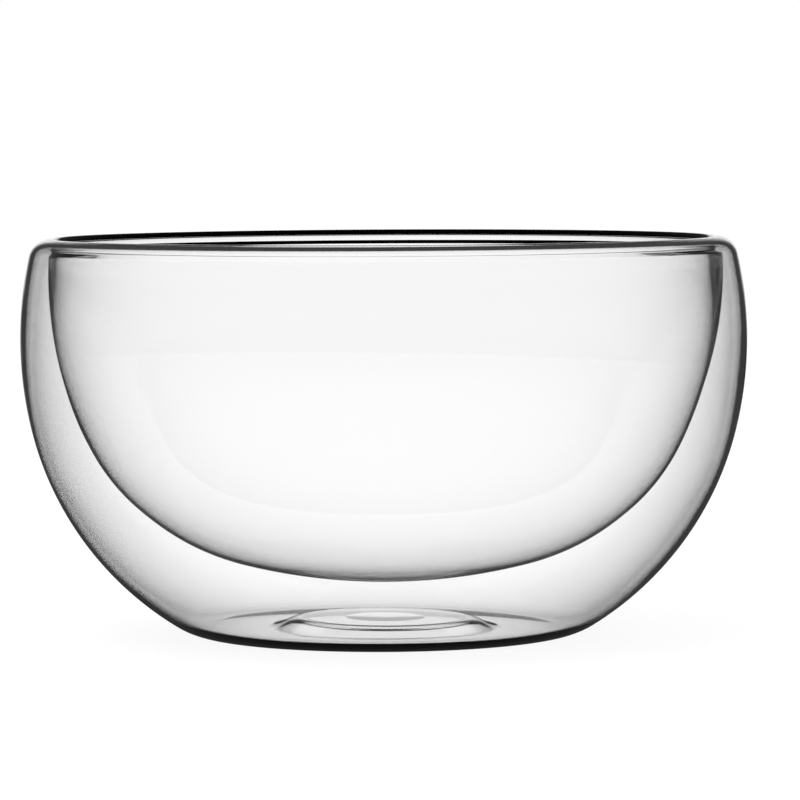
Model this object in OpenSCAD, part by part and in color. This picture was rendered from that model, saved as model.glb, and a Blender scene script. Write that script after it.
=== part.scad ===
// Small double-walled glass bowl
//
// Two blown shells of clear glass, one inside the other, with still air sealed
// between them. The outer shell folds over the rim, and its edge is welded to
// the thick top of the inner shell just inside the mouth, so the bowl is one
// closed piece of glass. It stands on z = 0 and its axis is Z. Every wall is a
// chain of arcs that run smoothly into each other, and the inner shell's glass
// grows thicker towards the weld. They are drawn in the plane of the section,
// where x is the distance from the axis and y the height, and turned about the
// axis. Lengths are in millimetres and angles in degrees.

/* [Outer shell] */
// Widest diameter of the bowl
outer_d = 130; // [116:0.5:146]
// Height from the table to the top of the rim
height = 71.2; // [66:0.1:80]
// Height at which the bowl is widest
belly_z = 53.2; // [48:0.1:58]
// Radius of the wall's curve around the belly
belly_r = 68.8; // [60:0.1:90]
// How far below the belly that curve gives way to the lower wall
belly_a = 14; // [6:0.5:24]
// Diameter of the flat foot, out to where its edge starts to bend up
foot_d = 61.8; // [52:0.1:70]
// Radius of the bend from the foot into the lower wall
foot_bend_r = 13; // [8:0.1:18]
// Thickness of the glass
outer_wall = 0.85; // [0.6:0.05:1.3]

/* [Rim] */
// Radius of the shoulder that turns the wall in over the rim
shoulder_r = 3.9; // [3.4:0.1:5]
// Radius of the fire-polished edge inside the rim
lip_r = 0.9; // [0.6:0.05:1.2]
// Thickness of the folded edge that hangs inside the rim
fold_wall = 0.7; // [0.5:0.05:1]
// Radius inside the fold, at the top of the sealed space
fold_bend_r = 0.5; // [0.3:0.05:0.7]

/* [Weld] */
// Depth below the rim at which the fold meets the inner shell
weld_depth = 2; // [1.8:0.1:3]
// Slant of the inner shell's thick shoulder there, from upright
weld_a = 48; // [35:1:60]
// Radius of the shoulder's two rounds
weld_r = 0.2; // [0.1:0.02:0.3]
// Thickness of the inner shell below it
weld_wall = 1.65; // [1.4:0.05:2]

/* [Inner shell] */
// Height of its underside above the table, on the axis
floor_z = 9.8; // [7:0.1:14]
// Thickness of the glass in its floor and lower side
inner_wall = 0.55; // [0.4:0.05:1]
// Radius of the floor's wide curve
floor_r = 104; // [80:1:160]
// Radius of the turn from the floor into the side
turn_r = 41; // [34:0.5:48]
// Radius of the side's gentle curve, on the sealed space
side_r = 66.5; // [60:0.5:80]
// Depth below the rim at which that curve stands upright
upright_h = 6.3; // [4:0.1:9]
// Height below it over which the side grows as thick as it is at the weld
taper_h = 22; // [12:1:30]

/* [Punt under the foot] */
// Diameter of the punt's flat ceiling
punt_d = 33; // [24:0.5:38]
// Height of the ceiling above the table
punt_h = 2.3; // [1.2:0.1:3.5]
// Radius of the bend at the ceiling's edge
punt_top_r = 2.2; // [1:0.1:4]
// Radius of the bend into the flat ring that the bowl stands on
punt_foot_r = 4.2; // [2.5:0.1:6]
// Diameter of the seal in the middle of the ceiling
seal_d = 14.2; // [8:0.1:20]
// How far the seal bulges down
seal_h = 0.5; // [0.2:0.05:1]

/* [Hidden] */

glass = [0.93, 0.94, 0.94, 0.35];

// Longest piece of an arc that is drawn straight, and of a full turn
arc_step = 2.5;
$fn = 144;

// The point at angle a on a circle about c
function on_circle(c, r, a) = c + r * [cos(a), sin(a)];

// Points along an arc from angle a0 to angle a1, without the last one, which
// is where the next arc starts
function arc(c, r, a0, a1) =
    let (n = max(1, ceil(abs(a1 - a0) / arc_step)))
    [for (i = [0 : n - 1]) on_circle(c, r, a0 + (a1 - a0) * i / n)];

// The direction from p to q
function bearing(p, q) = atan2(q.y - p.y, q.x - p.x);

// Where circles about p and q cross, on the right of the way from p to q
function crossing(p, rp, q, rq) =
    let (d = norm(q - p), u = (q - p) / d)
    let (along = (d * d + rp * rp - rq * rq) / (2 * d))
    p + along * u + sqrt(rp * rp - along * along) * [u.y, -u.x];

// Centres of the outer shell's arcs. A bend lies inside the curve it leaves,
// so their centres are as far apart as their radii differ.
belly_c = [outer_d / 2 - belly_r, belly_z];
foot_c = [foot_d / 2, foot_bend_r];
belly_end = on_circle(belly_c, belly_r, -belly_a);

// The lower wall leaves the belly at belly_end and touches the foot's bend
lower_dir = [cos(belly_a), -sin(belly_a)];
lower_span = belly_end - foot_c;
lower_r = (lower_span * lower_span - foot_bend_r * foot_bend_r)
    / (2 * (lower_span * lower_dir - foot_bend_r));
lower_c = belly_end - lower_r * lower_dir;
foot_a = bearing(lower_c, foot_c);

// The shoulder leaves the belly's curve and is level at the top of the rim
shoulder_z = height - shoulder_r;
shoulder_x = belly_c.x + sqrt(pow(belly_r - shoulder_r, 2) - pow(shoulder_z - belly_z, 2));
shoulder_c = [shoulder_x, shoulder_z];
shoulder_a = bearing(belly_c, shoulder_c);

// The edge inside the rim, where the mouth begins
lip_c = [shoulder_x, height - lip_r];
mouth_r = shoulder_x - lip_r;

// Inside the fold a round touches the shoulder's underside and the hanging edge
fold_x = mouth_r + fold_wall;
fold_in_r = shoulder_r - outer_wall;
fold_dx = fold_x + fold_bend_r - shoulder_x;
fold_c = [fold_x + fold_bend_r, shoulder_z + sqrt(pow(fold_in_r - fold_bend_r, 2) - fold_dx * fold_dx)];
fold_a = bearing(shoulder_c, fold_c);

// Centres of the inner shell's arcs
side_c = [mouth_r + weld_wall - side_r, height - upright_h];
floor_c = [0, floor_z + floor_r];
turn_c = crossing(side_c, side_r - turn_r, floor_c, floor_r - turn_r);
side_a = bearing(side_c, turn_c);
floor_a = bearing(floor_c, turn_c);

// Thickness of the inner shell at the height z of its underside, which grows
// up the side by the smooth step 3u^2 - 2u^3
function shell_wall(z) =
    let (u = max(0, min(1, 1 - (side_c.y - z) / taper_h)))
    inner_wall + (weld_wall - inner_wall) * u * u * (3 - 2 * u);

// The weld's shoulder slants from the fold out to the side's curve, with a
// round at each end. The lower round's centre lies on the slant's parallel
// inside the glass, as far from side_c as the radii differ.
weld_z = height - weld_depth;
weld_in_c = [fold_x + weld_r, weld_z + weld_r * tan(weld_a / 2)];
weld_dir = [sin(weld_a), -cos(weld_a)];
weld_from = [fold_x, weld_z] - weld_r * [cos(weld_a), sin(weld_a)] - side_c;
weld_half = weld_from * weld_dir;
weld_len = sqrt(weld_half * weld_half - weld_from * weld_from + pow(side_r - weld_r, 2)) - weld_half;
weld_out_c = side_c + weld_from + weld_len * weld_dir;
weld_out_a = bearing(side_c, weld_out_c);

// The two bends of the punt turn by the same angle
punt_a = acos(1 - punt_h / (punt_top_r + punt_foot_r));
punt_c = [punt_d / 2, punt_h - punt_top_r];
ring_c = [punt_d / 2 + (punt_top_r + punt_foot_r) * sin(punt_a), punt_foot_r];

// The seal is a shallow cap
seal_r = (pow(seal_d / 2, 2) + seal_h * seal_h) / (2 * seal_h);
seal_c = [0, punt_h - seal_h + seal_r];
seal_a = asin(seal_d / 2 / seal_r);

// The outer shell from the punt's edge up over the shoulder to the angle a, at
// the depth t below its outside
function outer_skin(t, a) = concat(
    arc(punt_c, punt_top_r + t, 90, 90 - punt_a),
    arc(ring_c, punt_foot_r - t, -90 - punt_a, -90),
    [[ring_c.x, t]],
    arc(foot_c, foot_bend_r - t, -90, foot_a),
    arc(lower_c, lower_r - t, foot_a, -belly_a),
    arc(belly_c, belly_r - t, -belly_a, 0),
    arc(belly_c, belly_r - t, 0, shoulder_a),
    arc(shoulder_c, shoulder_r - t, shoulder_a, a)
);

// An arc moved towards its centre by the thickness of the inner shell
function inside_arc(c, r, a0, a1) =
    [for (p = arc(c, r, a0, a1)) p + (c - p) * shell_wall(p.y) / r];

// The points of a curve up to the height y. On a very low bowl the turn
// reaches above the side, and only what lies below it is used.
function below(points, y) = [for (p = points) if (p.y <= y) p];

// Half of the bowl's section, as if it were solid between the shells
function bowl_section() = concat(
    arc(seal_c, seal_r, -90, -90 + seal_a),
    [[seal_d / 2, punt_h]],
    outer_skin(0, 90),
    arc(lip_c, lip_r, 90, 180),
    [[mouth_r, lip_c.y]],
    below(concat(
        inside_arc(side_c, side_r, 0, side_a),
        inside_arc(turn_c, turn_r, side_a, floor_a),
        inside_arc(floor_c, floor_r, floor_a, -90)
    ), side_c.y),
    [[0, floor_z + inner_wall]]
);

// Half of the sealed space's section
function gap_section() = concat(
    [[0, punt_h + outer_wall]],
    outer_skin(outer_wall, fold_a),
    arc(fold_c, fold_bend_r, fold_a, 180),
    [[fold_x, fold_c.y]],
    arc(weld_in_c, weld_r, 180, 180 + weld_a),
    [on_circle(weld_in_c, weld_r, 180 + weld_a)],
    arc(weld_out_c, weld_r, weld_a, weld_out_a),
    below(concat(
        arc(side_c, side_r, weld_out_a, side_a),
        arc(turn_c, turn_r, side_a, floor_a),
        arc(floor_c, floor_r, floor_a, -90)
    ), on_circle(side_c, side_r, weld_out_a).y),
    [[0, floor_z]]
);

module bowl() {
    color(glass)
    difference() {
        rotate_extrude() polygon(bowl_section());
        rotate_extrude() polygon(gap_section());
    }
}

bowl();
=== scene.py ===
import math

import bpy
import numpy as np
from mathutils import Matrix, Vector


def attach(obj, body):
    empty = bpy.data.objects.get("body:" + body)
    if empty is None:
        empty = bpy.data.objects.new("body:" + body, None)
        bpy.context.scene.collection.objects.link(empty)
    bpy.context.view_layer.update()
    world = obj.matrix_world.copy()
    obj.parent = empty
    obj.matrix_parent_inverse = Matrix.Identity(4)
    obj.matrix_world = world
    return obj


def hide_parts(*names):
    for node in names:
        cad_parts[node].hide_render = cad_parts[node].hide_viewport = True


# A small double-walled bowl of clear blown glass, all one closed piece. Its outer shell
# folds over the rim, and the folded edge is welded to the thick top of the inner shell,
# with still air sealed between them. The foot stands on z = 0 and the axis is Z. Lengths
# of the bowl and the camera are in millimetres, the stage's and the lamp's in metres,
# and angles in degrees.

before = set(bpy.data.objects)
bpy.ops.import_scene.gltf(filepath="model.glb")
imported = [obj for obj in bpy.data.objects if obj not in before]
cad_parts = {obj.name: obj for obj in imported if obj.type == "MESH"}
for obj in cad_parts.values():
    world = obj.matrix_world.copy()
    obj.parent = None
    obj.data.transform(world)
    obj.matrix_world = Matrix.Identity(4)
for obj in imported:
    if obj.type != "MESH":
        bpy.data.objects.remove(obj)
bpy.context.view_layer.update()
scene = bpy.context.scene
millimetre = 0.001


# A point at an angle on a circle: the centre plus the radius times the angle's cosine
# and sine.
def onCircle(centre, radius, degrees):
    angle = np.radians(degrees)
    across = centre[0] + radius * np.cos(angle)
    return np.stack([across, centre[1] + radius * np.sin(angle)], axis=-1)


# Evenly spaced points along an arc, without its last one, where the next arc starts.
# A chord of the angle s lies radius * (1 - cos(s / 2)) inside the arc, so the step
# that keeps it within sag is 2 * acos(1 - sag / radius).
def arc(centre, radius, start, end, sag=0.004, widest=5.0):
    step = min(widest, math.degrees(2 * math.acos(1 - min(sag / radius, 1))))
    count = max(2, math.ceil(abs(end - start) / step))
    return onCircle(centre, radius, np.linspace(start, end, count, endpoint=False))


# The direction from one point to another.
def bearing(start, end):
    return math.degrees(math.atan2(end[1] - start[1], end[0] - start[0]))


# Where two circles cross, on the right of the way from the first centre to the
# second: along the line between them by (d^2 + r1^2 - r2^2) / 2d, then square to it
# by what Pythagoras leaves of the first radius.
def crossing(first, firstRadius, second, secondRadius):
    gap = second - first
    distance = math.hypot(*gap)
    way = gap / distance
    along = (distance**2 + firstRadius**2 - secondRadius**2) / (2 * distance)
    aside = math.sqrt(firstRadius**2 - along**2)
    return first + along * way + aside * np.array([way[1], -way[0]])


# The smooth step 3u^2 - 2u^3, from 0 at the height none to 1 at the height full.
def rising(z, none, full):
    u = np.clip((z - none) / (full - none), 0, 1)
    return u**2 * (3 - 2 * u)


# Pairs of heights say where a change is none and where it is full.
bowl = {
    "outerDiameter": 130.0,
    "height": 71.2,
    "bellyHeight": 53.2,  # where the bowl is widest
    "bellyRadius": 68.8,
    "bellyAngle": 14.0,  # below the belly, where the tighter lower wall starts
    "footDiameter": 61.8,  # out to where its edge starts to bend up
    "footBend": 13.0,
    "outerWall": 0.98,
    "lowWall": 0.7,  # below the belly
    "wallHeights": (24, 46),  # from the low wall to the full one
    "baseWall": 0.95,  # on the ring that it stands on
    "baseHeights": (3.0, 0),
    "outerShift": 0.17,  # by which the lower outer wall is thicker on the right
    "outerShiftLow": (0, 12),
    "outerShiftHigh": (58, 36),
    "shoulderRadius": 3.9,
    "lipRadius": 0.9,
    "foldWall": 0.7,  # of the edge that hangs inside the rim
    "foldBend": 0.5,
    "weldDepth": 2.0,  # below the rim
    "weldSlant": 48.0,  # from upright
    "weldBend": 0.2,
    "weldWall": 1.8,
    "sideGap": 1.65,  # from the mouth's edge out to the upright part of the side
    "weldShift": 0.4,  # by which the top of the inner shell is thicker on the right
    "weldShiftHeights": (30, 68),
    "innerLean": 0.35,  # of the inner shell's floor to the right
    "leanHeights": (60, 10),
    "floorHeight": 9.65,  # of the inner shell's underside
    "floorRadius": 104.0,
    "turnRadius": 41.0,
    "sideRadius": 66.5,
    "uprightDepth": 6.3,  # below the rim, where the side stands upright
    "taperTop": 66.7,
    "taperHeight": 26.0,
    "taperPower": 2.2,
    "innerWall": 0.5,
    "puntDiameter": 29.0,
    "puntHeight": 2.1,
    "puntTopBend": 5.0,
    "puntFootBend": 7.0,
    "sealDiameter": 14.2,
    "sealHeight": 0.5,
    "smallStep": 8.0,  # degrees to a point on the small rounds of the rim and the weld
    "flatEdge": 0.05,  # from the end of a level stretch to the point that keeps it flat
    "turns": 248,  # steps round the axis
}


# Both closed curves of the section, from the axis out along the foot, up the outer
# wall, over the rim and down the inner wall to the axis, from the bowl's dictionary s.
# Each bend is a circle that touches its neighbours from inside, so their centres are as
# far apart as their radii differ and the joint lies on the line through both centres. A
# third number with each point says how far its ring lies to the right of the axis,
# because blown glass is never quite even.
def bowlSection(s):
    belly = np.array([s["outerDiameter"] / 2 - s["bellyRadius"], s["bellyHeight"]])
    foot = np.array([s["footDiameter"] / 2, s["footBend"]])

    # The lower wall leaves the belly's curve at a given point and touches the foot's
    # bend: with v from the foot's centre to that point and e the way out of it, the
    # radius is (v.v - bend^2) / 2(v.e - bend).
    low = math.radians(s["bellyAngle"])
    out = np.array([math.cos(low), -math.sin(low)])
    joint = belly + s["bellyRadius"] * out
    span = joint - foot
    lowerRadius = (span @ span - s["footBend"] ** 2) / (2 * (span @ out - s["footBend"]))
    lower = joint - lowerRadius * out
    footAngle = bearing(lower, foot)

    shoulderHeight = s["height"] - s["shoulderRadius"]
    reach = s["bellyRadius"] - s["shoulderRadius"]
    inward = math.sqrt(reach**2 - (shoulderHeight - belly[1]) ** 2)
    shoulder = np.array([belly[0] + inward, shoulderHeight])
    shoulderAngle = bearing(belly, shoulder)
    lip = np.array([shoulder[0], s["height"] - s["lipRadius"]])
    mouth = shoulder[0] - s["lipRadius"]

    # Inside the fold a round touches the shoulder's underside and the hanging edge.
    foldEdge = mouth + s["foldWall"]
    reach = s["shoulderRadius"] - s["outerWall"] - s["foldBend"]
    aside = foldEdge + s["foldBend"] - shoulder[0]
    fold = np.array([foldEdge + s["foldBend"], shoulderHeight + math.sqrt(reach**2 - aside**2)])
    foldAngle = bearing(shoulder, fold)

    # The inner shell is a gentle side, a tighter turn and a wide floor.
    side = np.array([mouth + s["sideGap"] - s["sideRadius"], s["height"] - s["uprightDepth"]])
    floor = np.array([0.0, s["floorHeight"] + s["floorRadius"]])
    sideReach = s["sideRadius"] - s["turnRadius"]
    turn = crossing(side, sideReach, floor, s["floorRadius"] - s["turnRadius"])

    # The weld slants from the fold out to the side's curve with a round at each end.
    # The lower round's centre c + l u lies on the slant's parallel inside the glass and
    # as far from the side's centre as the radii differ, so l = sqrt(h^2 - c.c + R^2) - h
    # with h = c.u.
    slant = math.radians(s["weldSlant"])
    way = np.array([math.sin(slant), -math.cos(slant)])
    weldStart = np.array([foldEdge, s["height"] - s["weldDepth"]])
    upperBend = weldStart + s["weldBend"] * np.array([1, math.tan(slant / 2)])
    start = weldStart - s["weldBend"] * np.array([math.cos(slant), math.sin(slant)]) - side
    half = start @ way
    length = math.sqrt(half**2 - start @ start + (s["sideRadius"] - s["weldBend"]) ** 2) - half
    lowerBend = side + start + length * way
    weldAngle = bearing(side, lowerBend)

    # Two bends that turn by the same angle a lift the punt by (r1 + r2)(1 - cos a).
    bends = s["puntTopBend"] + s["puntFootBend"]
    puntAngle = math.degrees(math.acos(1 - s["puntHeight"] / bends))
    puntEdge = np.array([s["puntDiameter"] / 2, s["puntHeight"] - s["puntTopBend"]])
    ringStart = s["puntDiameter"] / 2 + bends * math.sin(math.radians(puntAngle))
    ringEdge = np.array([ringStart, s["puntFootBend"]])

    # A cap of the width w and the height h belongs to a ball of the radius
    # (w^2 / 4 + h^2) / 2h.
    ball = (s["sealDiameter"] ** 2 / 4 + s["sealHeight"] ** 2) / (2 * s["sealHeight"])
    seal = np.array([0.0, s["puntHeight"] - s["sealHeight"] + ball])
    sealAngle = math.degrees(math.asin(s["sealDiameter"] / 2 / ball))

    # A level stretch gets a point close to each end, so that it is shaded flat.
    def level(start, end, z):
        near = s["flatEdge"] * np.sign(end - start)
        return np.array([[start, z], [start + near, z], [end - near, z]])

    def placed(points, shift=0.0):
        points = np.asarray(points, dtype=float)
        return np.column_stack([points, np.zeros(len(points)) + shift])

    def outerThickness(z):
        base = (s["baseWall"] - s["lowWall"]) * rising(z, *s["baseHeights"])
        return s["lowWall"] + base + (s["outerWall"] - s["lowWall"]) * rising(z, *s["wallHeights"])

    # The outer shell's outside, or its inside, moved in by the glass's thickness. The
    # punt's upper bend is hollow, so there the thickness adds to its radius.
    def outerSkin(end, inside):
        pieces = []
        for centre, radius, hollow, first, last in (
            (puntEdge, s["puntTopBend"], True, 90, 90 - puntAngle),
            (ringEdge, s["puntFootBend"], False, -90 - puntAngle, -90),
            (foot, s["footBend"], False, -90, footAngle),
            (lower, lowerRadius, False, footAngle, -s["bellyAngle"]),
            (belly, s["bellyRadius"], False, -s["bellyAngle"], 0),
            (belly, s["bellyRadius"], False, 0, shoulderAngle),
            (shoulder, s["shoulderRadius"], False, shoulderAngle, end),
        ):
            if centre is foot:
                pieces.append(placed(level(ringEdge[0], foot[0], s["baseWall"] if inside else 0)))
            points = arc(centre, radius, first, last)
            z = points[:, 1]
            shift = 0.0
            if inside:
                wall = outerThickness(z)
                moved = (wall if hollow else -wall)[:, None]
                points = points + (points - centre) * moved / radius
                fade = rising(z, *s["outerShiftLow"]) * rising(z, *s["outerShiftHigh"])
                shift = -s["outerShift"] * fade
            pieces.append(placed(points, shift))
        return pieces

    # The inner shell's arcs, on its underside or moved in by the glass's thickness,
    # which grows by a power of the height on the way up to the weld.
    def innerSkin(inside):
        pieces = []
        for centre, radius, first, last in (
            (side, s["sideRadius"], weldAngle, bearing(side, turn)),
            (turn, s["turnRadius"], bearing(side, turn), bearing(floor, turn)),
            (floor, s["floorRadius"], bearing(floor, turn), -90),
        ):
            points = arc(centre, radius, first, last)
            z = points[:, 1]
            shift = s["innerLean"] * rising(z, *s["leanHeights"])
            if inside:
                u = np.clip(1 - (s["taperTop"] - z) / s["taperHeight"], 0, 1)
                wall = s["innerWall"] + (s["weldWall"] - s["innerWall"]) * u ** s["taperPower"]
                points = points + (centre - points) * wall[:, None] / radius
            else:
                shift += s["weldShift"] * rising(z, *s["weldShiftHeights"])
            pieces.append(placed(points, shift))
        middle = s["floorHeight"] + (s["innerWall"] if inside else 0)
        return pieces + [placed([[0.0, middle]], s["innerLean"])]

    small = s["smallStep"]
    ceiling = s["puntHeight"] + float(outerThickness(s["puntHeight"]))
    weldTurn = 180 + s["weldSlant"]
    glass = [
        placed(arc(seal, ball, -90, -90 + sealAngle)),
        placed(level(s["sealDiameter"] / 2, puntEdge[0], s["puntHeight"])),
        *outerSkin(90, False),
        placed(arc(lip, s["lipRadius"], 90, 180, widest=small)),
        placed([[mouth, lip[1]]]),
        *innerSkin(True),
    ]
    air = [
        placed([[0.0, ceiling], [puntEdge[0] - s["flatEdge"], ceiling]]),
        *outerSkin(foldAngle, True),
        placed(arc(fold, s["foldBend"], foldAngle, 180, widest=small)),
        placed([[foldEdge, fold[1]]]),
        placed(arc(upperBend, s["weldBend"], 180, weldTurn, widest=small)),
        placed([onCircle(upperBend, s["weldBend"], weldTurn)]),
        placed(
            arc(lowerBend, s["weldBend"], s["weldSlant"], weldAngle, widest=small),
            s["weldShift"],
        ),
        *innerSkin(False),
    ]
    return np.vstack(glass), np.vstack(air)


# A surface turned about Z: the point (r, z) of the curve with the shift d goes to
# (d + r cos a, r sin a, z) at each angle a. Ends on the axis become one vertex with a
# fan. The faces look to the right of the curve's way, or to the left with inward set.
def turned(curve, turns, inward=False):
    angles = np.arange(turns) * (2 * math.pi / turns)
    ring = curve[1:-1]
    points = np.empty((len(ring), turns, 3))
    points[..., 0] = ring[:, :1] * np.cos(angles) + ring[:, 2:]
    points[..., 1] = ring[:, :1] * np.sin(angles)
    points[..., 2] = ring[:, 1:2]
    ends = np.array([[curve[0, 2], 0, curve[0, 1]], [curve[-1, 2], 0, curve[-1, 1]]])
    vertices = np.vstack([points.reshape(-1, 3), ends])

    here = np.arange(turns)
    after = (here + 1) % turns
    row = np.arange(len(ring) - 1)[:, None] * turns
    corners = [row + here, row + after, row + turns + after, row + turns + here]
    quads = np.stack(corners, axis=-1).reshape(-1, 4)
    start, end = len(vertices) - 2, len(vertices) - 1
    last = (len(ring) - 1) * turns
    fans = np.vstack(
        [
            np.stack([np.full(turns, start), after, here], axis=-1),
            np.stack([last + here, last + after, np.full(turns, end)], axis=-1),
        ]
    )
    if inward:
        quads, fans = quads[:, ::-1], fans[:, ::-1]
    return vertices, quads, fans


# One mesh object from several surfaces, smooth all over.
def makeObject(name, surfaces, material):
    vertices, faces, count = [], [], 0
    for points, quads, fans in surfaces:
        vertices.append(points * millimetre)
        faces += (quads + count).tolist() + (fans + count).tolist()
        count += len(points)
    mesh = bpy.data.meshes.new(name)
    mesh.from_pydata(np.vstack(vertices).tolist(), [], faces)
    mesh.polygons.foreach_set("use_smooth", np.ones(len(mesh.polygons), dtype=bool))
    mesh.materials.append(material)
    mesh.update()
    piece = bpy.data.objects.new(name, mesh)
    scene.collection.objects.link(piece)
    return piece


def newMaterial(name):
    material = bpy.data.materials.new(name)
    material.use_nodes = True
    return material, material.node_tree, material.node_tree.nodes["Principled BSDF"]


clearGlass = {
    "ior": 1.47,
    "sheen": 0.25,  # how bright its reflections are
    "absorbed": 6.0,  # of the light, per metre of glass
}

glass, tree, shader = newMaterial("clear glass")
shader.inputs["Base Color"].default_value = (1, 1, 1, 1)
shader.inputs["Roughness"].default_value = 0.0
shader.inputs["IOR"].default_value = clearGlass["ior"]
shader.inputs["Transmission Weight"].default_value = 1.0
shader.inputs["Specular Tint"].default_value = (clearGlass["sheen"],) * 3 + (1,)
absorption = tree.nodes.new("ShaderNodeVolumeAbsorption")
absorption.inputs["Color"].default_value = (0, 0, 0, 1)
absorption.inputs["Density"].default_value = clearGlass["absorbed"]
tree.links.new(absorption.outputs["Volume"], tree.nodes["Material Output"].inputs["Volume"])
print("glass made")

glassCurve, airCurve = bowlSection(bowl)
outside = turned(glassCurve, bowl["turns"])
inside = turned(airCurve, bowl["turns"], inward=True)
bowlPiece = makeObject("bowlGlass", [outside, inside], glass)
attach(bowlPiece, "root")
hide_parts("bowl")
points = len(glassCurve) + len(airCurve)
print("bowl made:", points, "points in its section,", len(bowlPiece.data.polygons), "faces")

stage = {
    "floorSize": 8.0,
    "floorDrop": 0.0002,  # below the foot, so that the two don't touch
    "floorWhite": 0.15,  # of the light that falls on it
    "floorLift": 0.9,  # added where it is looked at, up to white
    "roomLight": 0.85,  # that the white room casts on the floor
    # The dark that thrown back light sees is painted, because the room is white to the eye.
    "paintedReflectionDark": 0.05,  # what thrown back light sees of the room
    "hazeFrom": 7.5,  # faces passed, from which thrown back light is a haze
    "backdropEdge": (8.4, 15.6),  # off the straight way back, fading out between them
}


# One step of arithmetic between an output and another output or a number.
def combined(tree, operation, first, second):
    step = tree.nodes.new("ShaderNodeMath")
    step.operation = operation
    tree.links.new(first, step.inputs[0])
    if isinstance(second, float):
        step.inputs[1].default_value = second
    else:
        tree.links.new(second, step.inputs[1])
    return step.outputs[0]


def times(tree, first, second):
    return combined(tree, "MULTIPLY", first, second)


# A number between 0 and 1 for what a ray sees of the white round the bowl. Light that
# the glass has only bent sees all of it. Light that it has also thrown back sees the
# white only straight behind the bowl and a painted dark elsewhere, though the room is
# white to the eye: a painted reflection that draws the dark edges of the clear glass.
# After so many faces it sees the white all round again.
# The way is the direction in which the ray leaves, and its y is 1 straight behind.
def whiteSeen(tree, way):
    rays = tree.nodes.new("ShaderNodeLightPath")
    thrown = combined(tree, "MINIMUM", rays.outputs["Glossy Depth"], 1.0)
    few = combined(tree, "LESS_THAN", rays.outputs["Transmission Depth"], stage["hazeFrom"])
    parts = tree.nodes.new("ShaderNodeSeparateXYZ")
    tree.links.new(way, parts.inputs[0])
    aside = tree.nodes.new("ShaderNodeMapRange")
    aside.interpolation_type = "SMOOTHSTEP"
    edgeStart, edgeEnd = (math.cos(math.radians(angle)) for angle in stage["backdropEdge"])
    aside.inputs["From Min"].default_value = edgeStart
    aside.inputs["From Max"].default_value = edgeEnd
    tree.links.new(parts.outputs["Y"], aside.inputs["Value"])
    dark = times(tree, times(tree, thrown, few), aside.outputs[0])
    seen = tree.nodes.new("ShaderNodeMapRange")
    seen.inputs["To Min"].default_value = 1.0
    seen.inputs["To Max"].default_value = stage["paintedReflectionDark"]
    tree.links.new(dark, seen.inputs["Value"])
    return rays, seen.outputs[0]


# 1 for eyes, mirrors and glass, and 0 for the light that falls on things.
def looking(tree, rays):
    seen = combined(tree, "MAXIMUM", rays.outputs["Is Camera Ray"], rays.outputs["Is Glossy Ray"])
    return combined(tree, "MAXIMUM", seen, rays.outputs["Is Transmission Ray"])


# The floor works out the way in which a ray reaches it from the middle of the rim.
floorWhite, tree, shader = newMaterial("floor white")
shader.inputs["Roughness"].default_value = 1.0
shader.inputs["Specular IOR Level"].default_value = 0.0
coordinates = tree.nodes.new("ShaderNodeTexCoord")
below = tree.nodes.new("ShaderNodeVectorMath")
below.operation = "SUBTRACT"
below.inputs[1].default_value = (0, 0, bowl["height"] * millimetre)
tree.links.new(coordinates.outputs["Object"], below.inputs[0])
way = tree.nodes.new("ShaderNodeVectorMath")
way.operation = "NORMALIZE"
tree.links.new(below.outputs[0], way.inputs[0])
rays, seen = whiteSeen(tree, way.outputs[0])
# Its colour and its lift are painted dark for light that the glass has thrown back, except
# straight behind the bowl: a painted reflection for the glass's edges.
tree.links.new(times(tree, seen, stage["floorWhite"]), shader.inputs["Base Color"])
shader.inputs["Emission Color"].default_value = (1, 1, 1, 1)
lift = times(tree, times(tree, looking(tree, rays), seen), stage["floorLift"])
tree.links.new(lift, shader.inputs["Emission Strength"])

halfFloor = stage["floorSize"] / 2
corners = [(x * halfFloor, y * halfFloor) for x, y in ((-1, -1), (1, -1), (1, 1), (-1, 1))]
floorMesh = bpy.data.meshes.new("floor")
floorMesh.from_pydata([(x, y, -stage["floorDrop"]) for x, y in corners], [], [(0, 1, 2, 3)])
floorMesh.materials.append(floorWhite)
floor = bpy.data.objects.new("floor", floorMesh)
scene.collection.objects.link(floor)
print("stage made")

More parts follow.
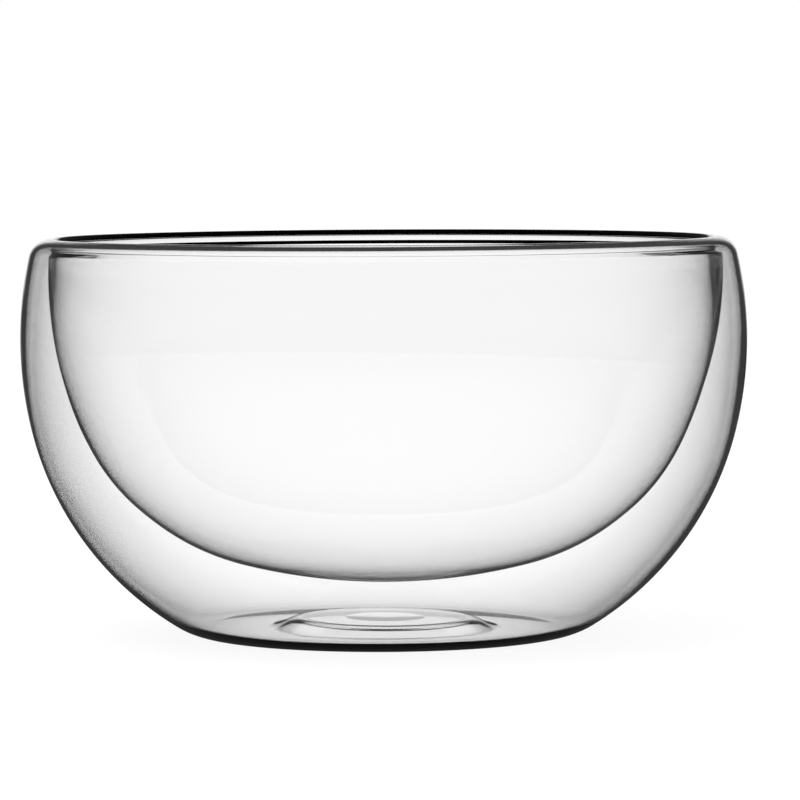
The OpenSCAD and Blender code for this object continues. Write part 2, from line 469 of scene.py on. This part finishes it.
# The room is white where it is looked at, and a little darker for the floor's light.
scene.view_settings.view_transform = "Standard"
world = bpy.data.worlds.new("white room")
world.use_nodes = True
scene.world = world
tree = world.node_tree
backdrop = tree.nodes["Background"]
backdrop.inputs["Color"].default_value = (1, 1, 1, 1)
coordinates = tree.nodes.new("ShaderNodeTexCoord")
rays, seen = whiteSeen(tree, coordinates.outputs["Generated"])
strength = tree.nodes.new("ShaderNodeMapRange")
strength.inputs["To Min"].default_value = stage["roomLight"]
strength.inputs["To Max"].default_value = 1.0
tree.links.new(looking(tree, rays), strength.inputs["Value"])
# Light that the glass has thrown back sees the room painted dark, except straight behind the bowl:
# a painted reflection that draws the glass's edges.
tree.links.new(times(tree, strength.outputs[0], seen), backdrop.inputs["Strength"])

lamp = {"size": (1.2, 0.9), "power": 6.0, "place": (-0.35, -0.25, 1.3), "aim": (0, 0, 0.03)}
softBox = bpy.data.lights.new("softBox", "AREA")
softBox.shape = "RECTANGLE"
softBox.size, softBox.size_y = lamp["size"]
softBox.energy = lamp["power"]
softBoxObject = bpy.data.objects.new("softBox", softBox)
softBoxObject.location = lamp["place"]
beam = Vector(lamp["aim"]) - softBoxObject.location
softBoxObject.rotation_euler = beam.to_track_quat("-Z", "Y").to_euler()
softBoxObject.visible_glossy = False
softBoxObject.visible_transmission = False
scene.collection.objects.link(softBoxObject)
print("light made")

camera = {
    "distance": 850.0,  # in front of the axis
    "height": 91.3,
    "lens": 213.6,
    "sensor": 36.0,
    "farthest": 50.0,  # metres that it sees
    "tilt": 3.326,
    "pan": 0.192,
    "roll": -0.285,
}

# Pan turns the view about Z, tilt lowers it, and roll turns the picture about it.
pan, tilt, roll = (math.radians(camera[key]) for key in ("pan", "tilt", "roll"))
ahead = Vector((math.sin(pan), math.cos(pan), 0))
right = Vector((math.cos(pan), -math.sin(pan), 0))
up = ahead * math.sin(tilt) + Vector((0, 0, math.cos(tilt)))
right, up = (
    right * math.cos(roll) + up * math.sin(roll),
    up * math.cos(roll) - right * math.sin(roll),
)
back = right.cross(up)
place = Matrix((right, up, back)).transposed().to_4x4()
place.translation = Vector((0, -camera["distance"], camera["height"])) * millimetre
cameraData = bpy.data.cameras.new("camera")
cameraData.sensor_width = camera["sensor"]
cameraData.lens = camera["lens"]
cameraData.clip_end = camera["farthest"]
cameraObject = bpy.data.objects.new("camera", cameraData)
cameraObject.matrix_world = place
scene.collection.objects.link(cameraObject)
scene.camera = cameraObject
print("camera made")
